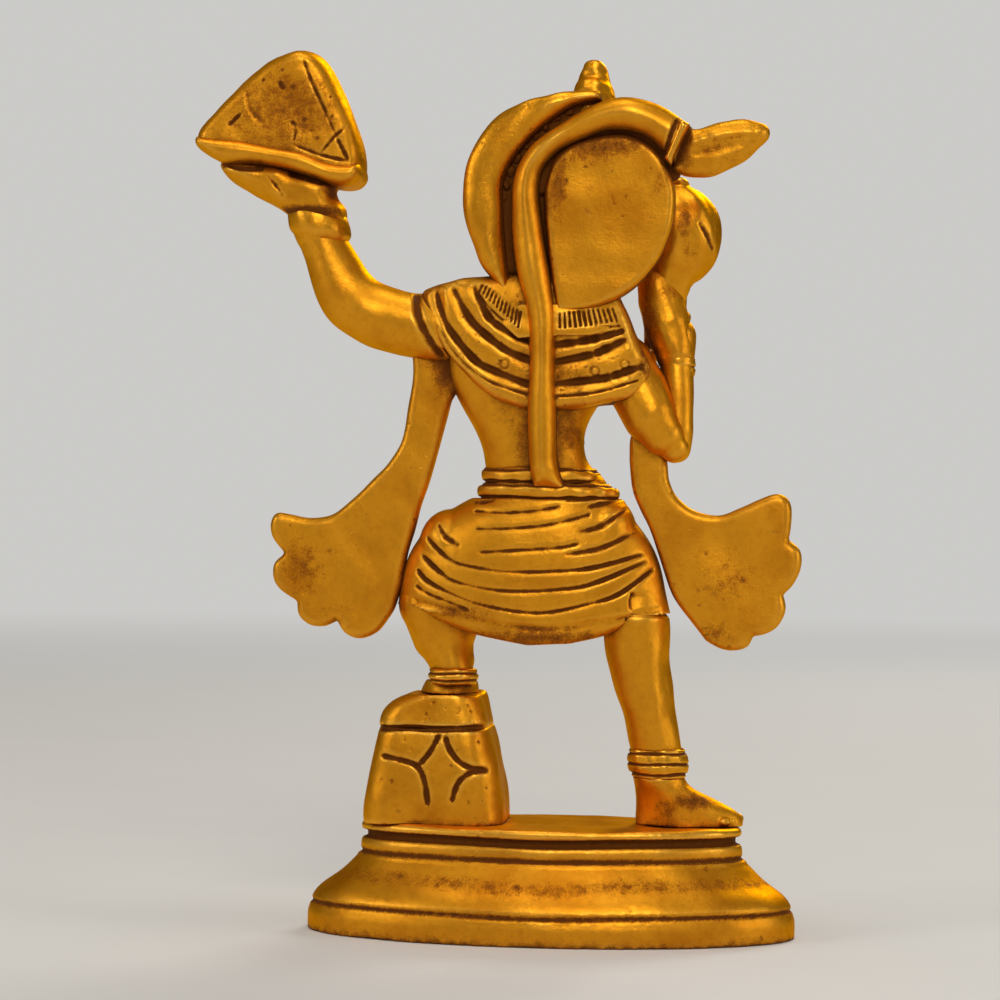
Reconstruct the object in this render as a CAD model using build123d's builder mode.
from build123d import *
import os

# A cast brass figure on an oval plinth: it stands with its left foot on a rock, lifts a mountain on its
# left hand, holds a mace in its right hand, and its tail rises up its back and loops over its head.
# The frame is in millimetres. +Z is up, the figure faces -Y and its own left is +X.
# The origin is the middle of the plinth's resting face.
# Each casting is a separate solid. Castings meet face to face, and plugs in sockets locate them.

# ---- plinth ----
plinth_length = 112.0
plinth_depth = 56.0
plinth_height = 25.2
foot_band_height = 6.5
foot_band_round = 2.6
flare_top_height = 17.8
deck_length = 87.6
deck_depth = 39.4
collar_height = 4.2
neck_height = 0.9
neck_inset = 1.0
collar_round = 1.7
lip_round = 1.0
casting_wall = 3.0

# ---- plugs that locate the castings ----
deck_plug_radius = 3.0
plug_radius = 2.0
waist_plug_radius = 5.0
plug_length = 4.0
ankle_plug_length = 1.8
rivet_head_radius = 4.2
rivet_head_height = 1.2
braze_gap = 0.05

# ---- levels of the figure, measured from the deck ----
rock_block_height = 21.8
rock_slab_height = 7.5
left_ankle_height = 2.3
anklet_height = 3.4
right_ankle_height = 11.0
right_anklet_height = 6.4
hem_height = 41.0
waist_height = 74.2
shoulder_height = 121.8

# ---- thicknesses and reliefs ----
shawl_thickness = 4.6
shawl_back = 2.6
halo_front = 3.0
halo_back = 8.0
crescent_thickness = 3.6
head_plate_thickness = 4.2
tail_thickness = 7.6
tail_inset = 1.0
cape_front = 0.0
mountain_front = -9.0
mountain_back = 7.0
ledge_proud = 1.0
mace_shaft_radius = 2.6
finial_radius = 3.8
finial_height = 9.6

deck = plinth_height
rock_top = deck + rock_block_height + rock_slab_height
hem = deck + hem_height
waist = deck + waist_height
shoulder = deck + shoulder_height
flare_share = (plinth_depth - deck_depth) / (plinth_length - deck_length)
crescent_back = halo_back + crescent_thickness
head_plate_back = halo_back + head_plate_thickness
tail_seat = halo_back - tail_inset
tail_back = tail_seat + tail_thickness


def oval(half_length):
    """An oval of the plinth's own proportions, for a given half length."""
    return Ellipse(half_length, plinth_depth / 2 - (plinth_length / 2 - half_length) * flare_share)


def level_ovals(stations, mode=Mode.ADD):
    """A loft through ovals in level planes, one for each (x, y, z, half width, half depth)."""
    sections = []
    for x, y, z, half_width, half_depth in stations:
        with BuildSketch(Plane.XY.offset(z)) as section:
            with Locations((x, y)):
                Ellipse(half_width, half_depth)
        sections.append(section.sketch)
    loft(sections, mode=mode)


def limb(stations):
    """A loft through ovals square to a bent path, one for each (x, y, z, half width, half depth)."""
    points = [Vector(x, y, z) for x, y, z, _, _ in stations]
    last = len(points) - 1
    sections = []
    for i, (_, _, _, half_width, half_depth) in enumerate(stations):
        along = (points[min(i + 1, last)] - points[max(i - 1, 0)]).normalized()
        backward = (Vector(0, 1, 0) - along * along.Y).normalized()
        with BuildSketch(Plane(origin=points[i], x_dir=backward, z_dir=along)) as section:
            Ellipse(half_depth, half_width)
        sections.append(section.sketch)
    loft(sections)


def plate(front, back, edge, mode=Mode.ADD):
    """A plate between two depths. The edge function draws its outline in the XZ plane."""
    with BuildSketch(Plane.XZ.offset(-back)) as section:
        with BuildLine():
            edge()
        make_face()
    extrude(section.sketch, amount=back - front, mode=mode)


def cut_by(*others):
    """Takes the castings that this one seats on out of it, so that they meet face to face."""
    for other in others:
        add(other.part, mode=Mode.SUBTRACT)


def plug(plane, radius, length, mode=Mode.ADD):
    """A round plug that rises from a plane, or with Mode.SUBTRACT the socket that takes it."""
    play = braze_gap if mode == Mode.SUBTRACT else 0
    with BuildSketch(plane) as section:
        Circle(radius + play)
    extrude(section.sketch, amount=length + play, mode=mode)


def level(x, y, z):
    """A level plane at a point."""
    return Plane(origin=(x, y, z))


# ---- plinth: a hollow casting that is open underneath ----
rock_plugs = [Vector(20.0, -3.0), Vector(33.0, 3.0)]
foot_plug = Vector(-25.5, 0.0)

with BuildPart() as plinth:
    with BuildSketch():
        oval(plinth_length / 2)
    extrude(amount=foot_band_height)
    fillet(plinth.edges().group_by(Axis.Z)[-1], foot_band_round)
    flare_run = (plinth_length - deck_length) / 2
    flare_rise = flare_top_height - foot_band_height + foot_band_round
    for rise, run in ((0.0, 0.06), (0.35, 0.14), (0.55, 0.40), (0.8, 0.76), (1.0, 1.0)):
        with BuildSketch(Plane.XY.offset(foot_band_height - foot_band_round + flare_rise * rise)):
            oval(plinth_length / 2 - flare_run * run)
    loft()
    with BuildSketch(Plane.XY.offset(flare_top_height)):
        oval(deck_length / 2)
    extrude(amount=collar_height)
    fillet(plinth.edges().group_by(Axis.Z)[-1], collar_round)
    with BuildSketch(Plane.XY.offset(flare_top_height + collar_height - neck_height)):
        oval(deck_length / 2 - neck_inset - collar_round / 2)
    extrude(amount=2 * neck_height)
    with BuildSketch(Plane.XY.offset(flare_top_height + collar_height + neck_height)):
        oval(deck_length / 2)
    extrude(amount=deck - flare_top_height - collar_height - neck_height)
    fillet(plinth.edges().group_by(Axis.Z)[-1], lip_round)
    inner_deck = deck_length / 2 - neck_inset - collar_round / 2 - casting_wall
    for rise, half_length in ((0.0, plinth_length / 2 - casting_wall),
                              (foot_band_height, plinth_length / 2 - casting_wall - 1.0),
                              (flare_top_height - casting_wall, inner_deck + 1.0),
                              (deck - casting_wall, inner_deck)):
        with BuildSketch(Plane.XY.offset(rise)):
            oval(half_length)
    loft(ruled=True, mode=Mode.SUBTRACT)
    for at in (*rock_plugs, foot_plug):
        plug(level(at.X, at.Y, deck - casting_wall), deck_plug_radius, casting_wall, Mode.SUBTRACT)


def deck_plug(at):
    """A plug through the deck, hammered over into a round head inside the plinth."""
    plug(level(at.X, at.Y, deck - casting_wall), deck_plug_radius, casting_wall)
    plug(level(at.X, at.Y, deck - casting_wall - rivet_head_height), rivet_head_radius, rivet_head_height)


# ---- rock under the left foot ----
with BuildPart() as rock_block:
    for rise, x, half_width, half_depth in ((0.0, 26.4, 15.9, 13.5), (0.5, 26.5, 14.9, 13.6),
                                            (1.0, 26.6, 12.1, 12.8)):
        with BuildSketch(Plane.XY.offset(deck + rock_block_height * rise)):
            with Locations((x, -1.5)):
                RectangleRounded(2 * half_width, 2 * half_depth, 6.0)
    loft()
    for at in rock_plugs:
        deck_plug(at)

with BuildPart() as rock_slab:
    for rise, x, half_width, half_depth in ((0.0, 26.6, 12.1, 12.8), (0.5, 26.6, 11.2, 12.6),
                                            (1.0, 24.4, 7.9, 12.0)):
        with BuildSketch(Plane.XY.offset(deck + rock_block_height + rock_slab_height * rise)):
            with Locations((x, -1.5)):
                RectangleRounded(2 * half_width, 2 * half_depth, 5.5)
    loft()

# ---- feet, anklets and legs ----
left_ankle = rock_top + left_ankle_height
left_shin = left_ankle + anklet_height
left_ankle_at = Vector(22.9, 1.6)
left_ankle_plane = level(left_ankle_at.X, left_ankle_at.Y, left_ankle)

with BuildPart() as left_foot:
    level_ovals([
        (24.3, -4.6, rock_top, 6.6, 10.6),
        (24.2, -4.4, rock_top + left_ankle_height * 0.45, 6.4, 10.2),
        (left_ankle_at.X, left_ankle_at.Y, left_ankle, 4.9, 5.2),
    ])
    plug(left_ankle_plane.offset(-ankle_plug_length - braze_gap), plug_radius, ankle_plug_length,
         Mode.SUBTRACT)

with BuildPart() as left_leg:
    level_ovals([
        (left_ankle_at.X, left_ankle_at.Y, left_ankle, 4.2, 4.6),
        (left_ankle_at.X, left_ankle_at.Y - 0.4, left_shin, 4.4, 5.0),
        (24.0, -0.6, left_shin + 4.4, 5.4, 7.0),
        (25.6, -2.6, left_shin + 9.4, 8.2, 9.4),
        (26.0, -3.4, left_shin + 17.0, 8.6, 10.0),
    ])
    plug(left_ankle_plane.offset(-ankle_plug_length), plug_radius, ankle_plug_length)

with BuildPart() as left_anklet:
    level_ovals([
        (left_ankle_at.X, left_ankle_at.Y, left_ankle, 4.9, 5.6),
        (left_ankle_at.X, left_ankle_at.Y, left_ankle + anklet_height / 2, 5.6, 6.4),
        (left_ankle_at.X, left_ankle_at.Y, left_shin, 5.1, 6.0),
    ])
    cut_by(left_leg)

right_ankle = deck + right_ankle_height
right_shin = right_ankle + right_anklet_height
right_ankle_at = Vector(-24.7, 0.0)
right_ankle_plane = level(right_ankle_at.X, right_ankle_at.Y, right_ankle)

with BuildPart() as right_foot:
    level_ovals([
        (-31.7, -1.0, deck, 12.2, 5.6),
        (-31.3, -1.0, deck + right_ankle_height * 0.22, 12.0, 5.5),
        (-29.0, -0.6, deck + right_ankle_height * 0.5, 9.6, 5.3),
        (right_ankle_at.X, right_ankle_at.Y, right_ankle, 6.0, 5.4),
    ])
    plug(right_ankle_plane.offset(-plug_length - braze_gap), plug_radius, plug_length, Mode.SUBTRACT)
    deck_plug(foot_plug)

with BuildPart() as right_leg:
    level_ovals([
        (right_ankle_at.X, right_ankle_at.Y, right_ankle, 5.3, 5.2),
        (-24.0, 0.0, right_shin, 5.9, 5.6),
        (-22.2, 0.3, right_shin + 8.4, 6.2, 6.6),
        (-20.2, 0.0, right_shin + 17.4, 7.0, 7.6),
        (-19.0, -0.4, right_shin + 27.4, 7.7, 8.4),
        (-18.6, -0.6, right_shin + 36.0, 7.6, 8.6),
    ])
    plug(right_ankle_plane.offset(-plug_length), plug_radius, plug_length)

with BuildPart() as right_anklet:
    level_ovals([
        (right_ankle_at.X, 0.0, right_ankle, 6.0, 5.9),
        (right_ankle_at.X + 0.4, 0.0, right_ankle + right_anklet_height / 2, 6.9, 6.6),
        (-24.2, 0.0, right_shin, 6.3, 6.2),
    ])
    cut_by(right_leg)

# ---- body ----
with BuildPart() as torso:
    level_ovals([
        (2.2, -0.2, waist, 12.6, 8.6),
        (3.6, 0.0, waist + 7.0, 12.2, 8.2),
        (5.0, 0.0, waist + 11.0, 11.6, 8.4),
        (5.9, -0.3, waist + 16.0, 12.7, 8.9),
        (6.2, -0.6, shoulder - 26.6, 15.4, 9.4),
        (5.4, -0.6, shoulder - 20.6, 19.0, 9.6),
        (4.4, -0.4, shoulder - 11.6, 20.6, 9.0),
        (1.6, -0.8, shoulder - 4.6, 14.0, 7.4),
        (-1.6, -1.6, shoulder + 0.6, 8.0, 6.6),
        (-2.6, -2.6, shoulder + 5.0, 7.0, 6.4),
    ])
    plug(level(1.4, 0.0, waist - plug_length), waist_plug_radius, plug_length)

with BuildPart() as dhoti:
    level_ovals([
        (4.4, -0.2, hem, 22.6, 11.0),
        (5.0, -0.4, hem + 6.4, 31.0, 13.0),
        (5.0, -0.6, hem + 12.4, 30.4, 13.4),
        (5.0, -0.5, hem + 18.4, 29.0, 13.2),
        (4.8, -0.4, hem + 24.4, 26.0, 12.6),
        (1.4, 0.0, waist, 17.6, 10.4),
    ])
    plug(level(1.4, 0.0, waist - plug_length - braze_gap), waist_plug_radius, plug_length, Mode.SUBTRACT)
    cut_by(left_leg, right_leg)

with BuildPart() as lower_waist_band:
    level_ovals([
        (1.4, 0.0, waist, 15.6, 9.8),
        (1.6, 0.0, waist + 1.7, 16.2, 10.6),
        (2.2, 0.0, waist + 3.4, 14.4, 9.8),
    ])
    cut_by(torso)

with BuildPart() as upper_waist_band:
    level_ovals([
        (2.6, 0.0, waist + 3.7, 13.4, 9.2),
        (3.2, 0.0, waist + 5.3, 13.6, 9.8),
        (3.6, 0.0, waist + 6.9, 12.8, 9.0),
    ])
    cut_by(torso, lower_waist_band)

with BuildPart() as front_pleats:
    level_ovals([
        (4.2, -10.4, hem + 0.8, 7.4, 4.2),
        (4.0, -11.6, hem + 8.0, 7.0, 4.8),
        (3.2, -11.0, waist - 12.0, 5.4, 4.2),
        (2.2, -9.6, waist, 3.8, 3.6),
    ])
    cut_by(dhoti)

# ---- cape over the shoulders ----
with BuildPart() as shoulder_cape:
    level_ovals([
        (4.6, 0.2, waist + 18.0, 20.0, 10.8),
        (4.4, 0.2, waist + 27.0, 22.6, 11.2),
        (4.2, 0.2, waist + 36.0, 25.4, 11.0),
        (3.6, 0.0, waist + 43.0, 25.6, 10.4),
        (1.6, -0.4, shoulder + 0.6, 19.6, 9.2),
        (0.6, -1.0, shoulder + 3.2, 14.0, 8.2),
    ])

    def cape_edge():
        Spline((31.1, shoulder - 2.6), (25.9, shoulder - 12.8), (20.1, shoulder - 19.6),
               (14.3, shoulder - 24.1),
               (7.2, shoulder - 27.0))
        Polyline((7.2, shoulder - 27.0), (-0.8, shoulder - 27.8), (-6.2, shoulder - 27.3))
        Spline((-6.2, shoulder - 27.3), (-13.0, shoulder - 26.8), (-19.8, shoulder - 24.4),
               (-22.5, shoulder - 22.6))
        Polyline((-22.5, shoulder - 22.6), (-24.0, shoulder + 8.0), (31.1, shoulder + 8.0),
                 (31.1, shoulder - 2.6))

    plate(cape_front, 16.0, cape_edge, Mode.INTERSECT)
    cut_by(torso)

# ---- left arm, raised, with the mountain on its hand ----
wrist = Vector(55.6, 0.0, waist + 61.4)

with BuildPart() as left_arm:
    limb([
        (18.0, -0.4, shoulder - 7.0, 8.8, 7.8),
        (25.0, 0.0, shoulder - 7.6, 8.6, 8.2),
        (33.0, 0.2, shoulder - 8.0, 7.3, 7.6),
        (40.6, 0.0, shoulder - 6.0, 7.2, 7.2),
        (47.4, -0.2, shoulder - 2.2, 7.0, 6.8),
        (51.6, -0.2, shoulder + 4.4, 6.1, 6.2),
        (54.2, 0.0, shoulder + 10.2, 5.3, 5.6),
        (wrist.X, wrist.Y, wrist.Z, 5.2, 5.4),
    ])
    cut_by(torso, shoulder_cape)

with BuildPart() as left_bracelet:
    limb([
        (54.6, 0.0, shoulder + 12.6, 6.0, 6.2),
        (55.4, 0.0, shoulder + 15.6, 6.8, 6.8),
        (56.0, 0.0, shoulder + 18.4, 6.2, 6.4),
    ])
    cut_by(left_arm)


def mountain_underside():
    """The line between the hand and the mountain, from the outer side of the hand inward."""
    return [(80.7, shoulder + 29.6), (69.1, shoulder + 27.5), (60.2, shoulder + 25.4),
            (49.6, shoulder + 24.0)]


def left_hand_edge():
    under = mountain_underside()
    Polyline(under[::-1])
    Spline(under[0], (78.5, shoulder + 26.7), (73.0, shoulder + 23.3), (66.0, shoulder + 19.8),
           (62.4, shoulder + 17.4))
    Polyline((62.4, shoulder + 17.4), (49.0, shoulder + 17.4), under[-1])


with BuildPart() as left_hand:
    plate(-7.0, 6.2, left_hand_edge)
    fillet(left_hand.edges().group_by(Axis.Y)[-1].filter_by(GeomType.BSPLINE), 2.0)
    cut_by(left_arm, left_bracelet)


def mountain_edge():
    under = mountain_underside()
    Polyline((83.6, shoulder + 34.0), (82.3, shoulder + 31.6), *under, (46.2, shoulder + 28.0),
             (45.5, shoulder + 32.6))
    Spline((45.5, shoulder + 32.6), (49.9, shoulder + 45.3), (55.4, shoulder + 53.4),
           (60.5, shoulder + 55.5),
           (68.7, shoulder + 51.6), (76.4, shoulder + 43.5), (83.6, shoulder + 34.0))


with BuildPart() as mountain:
    plate(mountain_front, mountain_back, mountain_edge)
    chamfer(mountain.edges().group_by(Axis.Y)[-1].filter_by(GeomType.BSPLINE), 2.4)
    chamfer(mountain.edges().group_by(Axis.Y)[0].filter_by(GeomType.BSPLINE), 2.4)


def ledge_edge():
    under = mountain_underside()
    Polyline((83.6, shoulder + 34.0), (82.3, shoulder + 31.6), *under, (46.2, shoulder + 28.0),
             (45.7, shoulder + 30.7), (50.9, shoulder + 30.7), (60.3, shoulder + 33.0),
             (72.0, shoulder + 34.9), (82.6, shoulder + 36.5), (83.6, shoulder + 34.0))


with BuildPart() as mountain_ledge:
    plate(mountain_back, mountain_back + ledge_proud, ledge_edge)

# ---- right arm, bent, with the mace in its hand ----
mace_foot = Vector(-25.4, -12.2, shoulder - 17.0)
mace_middle = Vector(-27.6, -6.8, shoulder + 13.8)
mace_plane = Plane(origin=mace_foot, x_dir=(1, 0, 0), z_dir=mace_middle - mace_foot)
mace_length = 40.0
mace_head_radius = 9.4

with BuildPart() as right_upper_arm:
    limb([
        (-10.0, 0.0, shoulder - 7.0, 8.0, 7.6),
        (-16.6, 1.4, shoulder - 10.0, 8.2, 7.8),
        (-20.8, 3.0, shoulder - 19.0, 7.4, 7.2),
        (-24.4, 4.0, shoulder - 29.0, 6.4, 6.6),
        (-26.4, 2.6, shoulder - 35.4, 5.2, 6.0),
    ])
    cut_by(torso, shoulder_cape)

with BuildPart() as right_forearm:
    limb([
        (-26.0, 2.0, shoulder - 38.8, 4.4, 4.4),
        (-26.6, 0.6, shoulder - 35.6, 5.6, 5.6),
        (-26.8, -1.0, shoulder - 28.0, 5.6, 5.4),
        (-26.6, -2.8, shoulder - 18.0, 4.9, 4.8),
        (-26.4, -3.4, shoulder - 13.6, 4.5, 4.5),
    ])
    cut_by(torso, right_upper_arm)

with BuildPart() as right_bracelet:
    limb([
        (-26.7, -2.2, shoulder - 20.4, 5.4, 5.2),
        (-26.7, -2.7, shoulder - 18.2, 6.0, 5.8),
        (-26.6, -3.2, shoulder - 16.0, 5.3, 5.1),
    ])
    cut_by(right_forearm, right_upper_arm, torso)

with BuildPart() as mace_shaft:
    plug(mace_plane, mace_shaft_radius, mace_length)
    fillet(mace_shaft.edges().group_by(Axis.Z)[0], 1.2)

with BuildPart() as right_hand:
    limb([
        (-26.4, -3.4, shoulder - 13.6, 4.5, 4.5),
        (-26.2, -6.8, shoulder - 10.4, 6.2, 7.2),
        (-26.0, -7.8, shoulder - 5.6, 6.4, 7.4),
        (-26.2, -8.0, shoulder - 1.8, 5.2, 5.8),
    ])
    cut_by(mace_shaft, right_forearm, right_upper_arm, right_bracelet, torso)

with BuildPart() as mace_head:
    level_ovals([
        (mace_middle.X, mace_middle.Y, mace_middle.Z + up * mace_head_radius * 1.22,
         mace_head_radius * out, mace_head_radius * 0.96 * out)
        for up, out in ((-1.0, 0.30), (-0.72, 0.74), (-0.3, 0.97), (0.1, 1.0), (0.55, 0.84),
                        (0.9, 0.42), (1.0, 0.2))
    ])
    cut_by(mace_shaft, right_hand, torso)

# ---- collar ----
with BuildPart() as neck_ruff:
    level_ovals([
        (1.2, -1.0, shoulder - 12.0, 24.0, 13.6),
        (0.6, -1.4, shoulder - 3.0, 22.0, 13.2),
        (-0.4, -2.0, shoulder + 4.4, 20.0, 12.2),
    ])

    def ruff_edge():
        Polyline((17.5, shoulder + 2.1), (12.4, shoulder - 7.4), (7.7, shoulder - 11.0),
                 (-8.2, shoulder - 10.4),
                 (-15.5, shoulder - 8.4), (-13.8, shoulder - 3.4), (7.8, shoulder - 3.5),
                 (17.5, shoulder + 4.0),
                 (17.5, shoulder + 2.1))

    plate(6.0, 16.0, ruff_edge, Mode.INTERSECT)
    cut_by(torso, shoulder_cape, right_upper_arm)

# ---- head, crown and halo ----
face_middle = Vector(-7.6, -6.0, shoulder + 10.6)

with BuildPart() as head:
    level_ovals([
        (face_middle.X, face_middle.Y + shift, face_middle.Z + up, half_width, half_depth)
        for up, shift, half_width, half_depth in (
            (-12.6, 1.2, 3.0, 4.0), (-10.4, 0.4, 5.6, 7.0), (-6.0, 0.2, 8.0, 8.8), (0.0, 0.4, 9.2, 9.6),
            (5.0, 0.8, 9.2, 9.4), (9.0, 1.2, 8.0, 8.0))
    ])
    cut_by(torso, neck_ruff, shoulder_cape)

crown_foot = face_middle.Z + 6.6

with BuildPart() as crown_band:
    level_ovals([
        (face_middle.X, face_middle.Y + 0.9, crown_foot - 1.6, 9.9, 10.0),
        (face_middle.X, face_middle.Y + 1.0, crown_foot + 0.4, 10.7, 10.8),
        (face_middle.X, face_middle.Y + 1.1, crown_foot + 2.4, 9.9, 10.0),
    ])
    cut_by(head)

with BuildPart() as crown:
    level_ovals([
        (face_middle.X, face_middle.Y + 1.1, crown_foot + 2.4, 9.4, 9.4),
        (face_middle.X, face_middle.Y + 1.6, crown_foot + 9.0, 10.0, 9.6),
        (face_middle.X, face_middle.Y + 2.4, crown_foot + 16.0, 8.6, 8.2),
        (face_middle.X + 0.2, face_middle.Y + 3.6, crown_foot + 22.4, 5.6, 5.8),
        (face_middle.X + 0.3, face_middle.Y + 4.4, crown_foot + 26.6, 3.4, 3.8),
    ])
    cut_by(head, crown_band)
    plug(level(face_middle.X + 0.3, face_middle.Y + 4.4, crown_foot + 26.6 - plug_length - braze_gap),
         plug_radius, plug_length, Mode.SUBTRACT)

finial_foot = crown_foot + 26.6
finial_at = Vector(face_middle.X + 0.3, face_middle.Y + 4.4)

with BuildPart() as crown_finial:
    level_ovals([
        (finial_at.X, finial_at.Y, finial_foot + up * finial_height, finial_radius * out,
         finial_radius * out)
        for up, out in ((0.0, 0.9), (0.3, 1.0), (0.62, 0.92), (0.86, 0.55), (1.0, 0.24))
    ])
    plug(level(finial_at.X, finial_at.Y, finial_foot - plug_length), plug_radius, plug_length)

rim_outer = [(17.8, shoulder + 4.1), (20.1, shoulder + 10.3), (21.0, shoulder + 25.0),
             (18.6, shoulder + 33.1),
             (13.1, shoulder + 39.9), (5.2, shoulder + 43.6), (-6.2, shoulder + 44.6)]


def halo_edge():
    Spline(*rim_outer)
    Spline(rim_outer[-1], (-16.0, shoulder + 39.0), (-22.0, shoulder + 30.0), (-24.0, shoulder + 20.0),
           (-21.0, shoulder + 8.0), (-14.0, shoulder + 2.0))
    Polyline((-14.0, shoulder + 2.0), (-6.0, shoulder - 1.0), (8.5, shoulder - 1.0), rim_outer[0])


with BuildPart() as halo:
    plate(halo_front, halo_back, halo_edge)
    cut_by(torso, neck_ruff, shoulder_cape, head, crown_band, crown, crown_finial, mace_head, mace_shaft,
           left_arm, right_upper_arm, right_hand)


def rim_edge():
    top = (-9.7, shoulder + 42.7)
    Spline(*rim_outer)
    Polyline(rim_outer[-1], top)
    Spline(top, (-0.6, shoulder + 41.1), (6.2, shoulder + 36.5), (10.7, shoulder + 29.7),
           (12.9, shoulder + 22.8), (13.3, shoulder + 13.7), (10.0, shoulder + 2.0))
    Polyline((10.0, shoulder + 2.0), rim_outer[0])


with BuildPart() as halo_rim:
    plate(halo_back, crescent_back, rim_edge)
    cut_by(torso, neck_ruff, shoulder_cape, left_arm)


def head_plate_edge():
    Spline((-7.3, shoulder - 4.8), (-20.8, shoulder + 0.9), (-28.1, shoulder + 13.3),
           (-25.7, shoulder + 26.8),
           (-15.9, shoulder + 32.9), (-4.0, shoulder + 31.0), (3.0, shoulder + 22.0),
           (3.0, shoulder + 8.0),
           (-7.3, shoulder - 4.8), tangents=[(-1, 0.2), (-1, 0.2)])


with BuildPart() as head_plate:
    plate(halo_back, head_plate_back, head_plate_edge)
    chamfer(head_plate.edges().group_by(Axis.Y)[-1], 1.6)
    cut_by(torso, neck_ruff, shoulder_cape, mace_head, right_upper_arm)


# ---- tail ----
def tail_edge():
    tip = [(-25.2, shoulder + 28.0), (-30.5, shoulder + 35.2)]
    Spline((4.4, waist + 2.0), (5.5, waist + 22.4), (5.3, waist + 33.7), (8.2, shoulder + 1.9),
           (9.3, shoulder + 22.3), (2.2, shoulder + 35.4), (-12.4, shoulder + 41.0),
           (-26.0, shoulder + 38.3),
           tip[1])
    Polyline(tip)
    Spline(tip[0], (-14.8, shoulder + 33.1), (-3.4, shoulder + 30.0), (1.6, shoulder + 19.0),
           (0.5, shoulder + 4.2),
           (-0.9, waist + 33.7), (-0.8, waist + 22.4), (-3.5, waist + 2.0))
    Polyline((-3.5, waist + 2.0), (4.4, waist + 2.0))


with BuildPart() as tail:
    plate(tail_seat, tail_back, tail_edge)
    cut_by(torso, dhoti, lower_waist_band, upper_waist_band, shoulder_cape, neck_ruff, halo,
           halo_rim, head_plate,
           mace_head)


def ring_edge():
    Polyline((-25.5, shoulder + 28.3), (-30.9, shoulder + 37.4), (-33.3, shoulder + 35.4),
             (-28.2, shoulder + 26.6), (-25.5, shoulder + 28.3))


def tuft_edge():
    Spline((-33.3, shoulder + 35.4), (-38.9, shoulder + 38.1), (-44.0, shoulder + 39.6),
           (-47.9, shoulder + 36.3))
    Spline((-47.9, shoulder + 36.3), (-45.0, shoulder + 31.8), (-39.5, shoulder + 27.3),
           (-33.8, shoulder + 25.5),
           (-28.2, shoulder + 26.6))
    Polyline((-28.2, shoulder + 26.6), (-33.3, shoulder + 35.4))


with BuildPart() as tail_ring:
    plate(tail_seat - 1.0, tail_back + 0.8, ring_edge)
    cut_by(tail, head_plate, halo, mace_head)

with BuildPart() as tail_tuft:
    plate(tail_seat - 1.0, tail_back - 1.6, tuft_edge)
    cut_by(tail, tail_ring, mace_head)


# ---- beads in the groove between the halo's rim and the tail ----
bead_radius = 1.5
bead_count = 14

with BuildLine(Plane.XZ.offset(-halo_back)) as bead_line:
    Spline((10.4, shoulder + 4.4), (11.5, shoulder + 13.6), (11.1, shoulder + 22.6),
           (9.0, shoulder + 29.4),
           (4.2, shoulder + 36.0), (-3.0, shoulder + 40.3))

with BuildPart() as halo_beads:
    for i in range(bead_count):
        with Locations(bead_line.line @ (i / (bead_count - 1))):
            Sphere(bead_radius)
    cut_by(halo, halo_rim, tail, neck_ruff, shoulder_cape)


# ---- shawl ends that flare at both sides ----
def left_shawl_edge():
    Spline((33.5, shoulder - 15.3), (35.2, shoulder - 26.3), (39.5, waist + 8.1), (48.4, waist - 2.6),
           (56.5, waist - 5.7), (64.5, waist - 4.4), (65.9, waist - 6.6), (62.5, waist - 13.8))
    for start, bulge, end in (((62.5, waist - 13.8), (65.0, waist - 19.5), (59.4, waist - 24.4)),
                              ((59.4, waist - 24.4), (56.8, waist - 29.8), (49.9, waist - 28.6)),
                              ((49.9, waist - 28.6), (44.0, waist - 33.4), (37.2, waist - 27.3))):
        ThreePointArc(start, bulge, end)
    Spline((37.2, waist - 27.3), (33.6, waist - 10.9), (31.0, waist + 1.8), (27.0, waist + 17.9),
           (25.7, shoulder - 24.2))
    Polyline((25.7, shoulder - 24.2), (25.7, shoulder - 15.3), (33.5, shoulder - 15.3))


with BuildPart() as left_shawl_end:
    plate(shawl_back - shawl_thickness, shawl_back, left_shawl_edge)
    cut_by(torso, dhoti, lower_waist_band, shoulder_cape, left_arm, left_leg)


def right_shawl_edge():
    Spline((-25.9, waist + 8.8), (-27.6, waist + 1.3), (-38.4, waist - 3.1), (-50.4, waist + 1.8),
           (-54.0, waist - 1.3), (-53.4, waist - 8.6))
    for start, bulge, end in (((-53.4, waist - 8.6), (-56.2, waist - 14.4), (-52.3, waist - 20.8)),
                              ((-52.3, waist - 20.8), (-51.6, waist - 27.6), (-45.5, waist - 30.4)),
                              ((-45.5, waist - 30.4), (-39.6, waist - 34.2), (-31.4, waist - 27.6))):
        ThreePointArc(start, bulge, end)
    Spline((-31.4, waist - 27.6), (-24.4, waist - 13.5), (-19.7, waist - 2.2), (-16.9, waist + 9.2))
    Polyline((-16.9, waist + 9.2), (-17.4, shoulder - 34.0), (-22.6, shoulder - 35.6), (-25.9, waist + 8.8))


with BuildPart() as right_shawl_end:
    plate(shawl_back - shawl_thickness, shawl_back, right_shawl_edge)
    cut_by(torso, dhoti, lower_waist_band, upper_waist_band, right_upper_arm, right_forearm, right_leg)

# ---- jewels on the front ----
def necklace_edge():
    Polyline((-14.0, shoulder - 3.0), (-7.0, shoulder - 15.0), (1.0, shoulder - 18.0),
             (8.0, shoulder - 15.0),
             (13.0, shoulder - 3.0), (6.0, shoulder - 4.0), (1.0, shoulder - 11.0), (-4.0, shoulder - 9.0),
             (-9.0, shoulder - 3.0), (-14.0, shoulder - 3.0))


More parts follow.
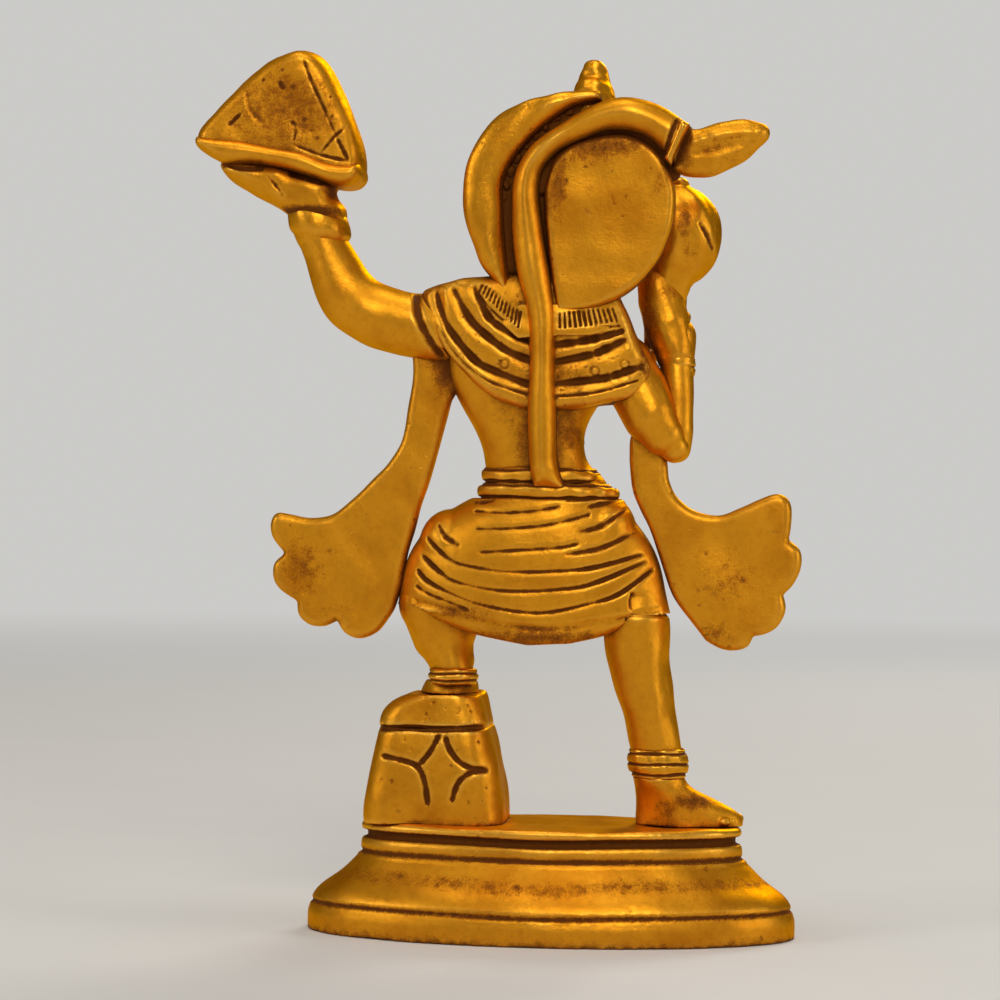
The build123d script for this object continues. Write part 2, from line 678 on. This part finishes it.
with BuildPart() as necklace:
    level_ovals([
        (1.6, -1.6, shoulder - 16.0, 10.4, 10.6),
        (0.6, -2.2, shoulder - 9.0, 11.0, 10.4),
        (-0.8, -2.4, shoulder - 3.0, 9.6, 8.8),
    ])
    plate(-20.0, -2.0, necklace_edge, Mode.INTERSECT)
    cut_by(torso, shoulder_cape, neck_ruff, head, mace_shaft, mace_head, right_hand)

earrings = []
for side, clear in ((1, 10.4), (-1, 9.4)):
    with BuildPart() as earring:
        level_ovals([
            (face_middle.X + side * clear, face_middle.Y + 1.0, face_middle.Z - 1.2 + up, out, out)
            for up, out in ((-4.0, 0.8), (-2.2, 2.0), (0.4, 2.4), (2.6, 1.4))
        ])
        cut_by(head, mace_head, halo, neck_ruff)
    earrings.append(earring)

castings = {
    "plinth": plinth,
    "rock_block": rock_block,
    "rock_slab": rock_slab,
    "left_foot": left_foot,
    "left_leg": left_leg,
    "left_anklet": left_anklet,
    "right_foot": right_foot,
    "right_leg": right_leg,
    "right_anklet": right_anklet,
    "torso": torso,
    "dhoti": dhoti,
    "front_pleats": front_pleats,
    "lower_waist_band": lower_waist_band,
    "upper_waist_band": upper_waist_band,
    "left_arm": left_arm,
    "left_bracelet": left_bracelet,
    "left_hand": left_hand,
    "mountain": mountain,
    "mountain_ledge": mountain_ledge,
    "right_upper_arm": right_upper_arm,
    "right_forearm": right_forearm,
    "right_bracelet": right_bracelet,
    "right_hand": right_hand,
    "mace_shaft": mace_shaft,
    "mace_head": mace_head,
    "shoulder_cape": shoulder_cape,
    "neck_ruff": neck_ruff,
    "necklace": necklace,
    "head": head,
    "left_earring": earrings[0],
    "right_earring": earrings[1],
    "crown_band": crown_band,
    "crown": crown,
    "crown_finial": crown_finial,
    "halo": halo,
    "halo_rim": halo_rim,
    "halo_beads": halo_beads,
    "head_plate": head_plate,
    "tail": tail,
    "tail_ring": tail_ring,
    "tail_tuft": tail_tuft,
    "left_shawl_end": left_shawl_end,
    "right_shawl_end": right_shawl_end,
}

os.makedirs("parts", exist_ok=True)
for name, casting in castings.items():
    casting.part.label = name
    export_step(casting.part, f"parts/{name}.step")
